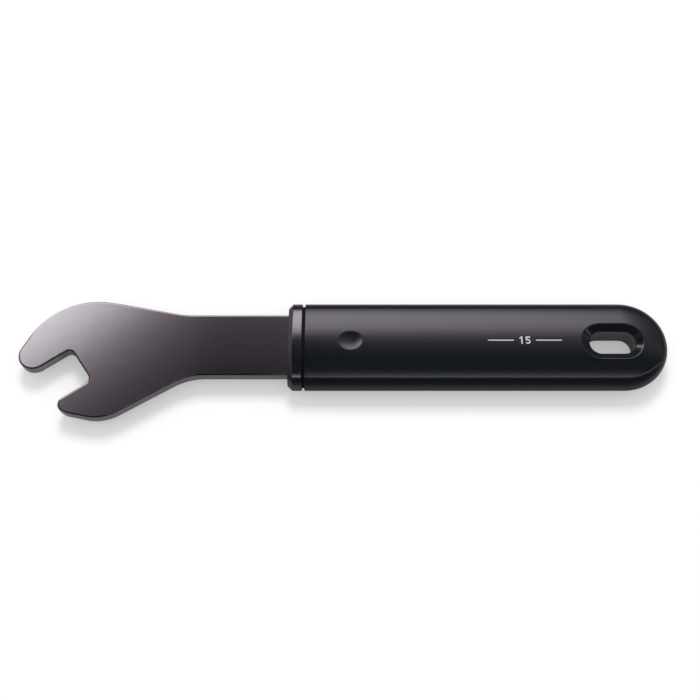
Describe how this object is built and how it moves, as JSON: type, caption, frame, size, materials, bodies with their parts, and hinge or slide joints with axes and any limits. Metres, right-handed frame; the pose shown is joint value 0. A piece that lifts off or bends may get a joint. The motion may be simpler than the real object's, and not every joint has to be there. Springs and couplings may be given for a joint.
{
  "type": "pedal wrench",
  "caption": "Flat steel open-end wrench for pedal axle flats, with an angled jaw, a crowned plastic handle closed by a collar, and an oblong hanging hole.",
  "frame": {"origin": "centre of the axle that the jaw grips, halfway through the blade", "axes": "+X along the handle towards the hanging end, +Y across it towards the long jaw arm, +Z out of the printed top side"},
  "size_m": [0.2426, 0.0468, 0.013],
  "materials": {
    "blade_steel": "satin",
    "collar_plastic": "gloss",
    "handle_plastic": "satin"
  },
  "bodies": {
    "root": {"wrench_blade": "blade_steel", "front_collar": "collar_plastic", "handle": "handle_plastic"}
  },
  "joints": []
}
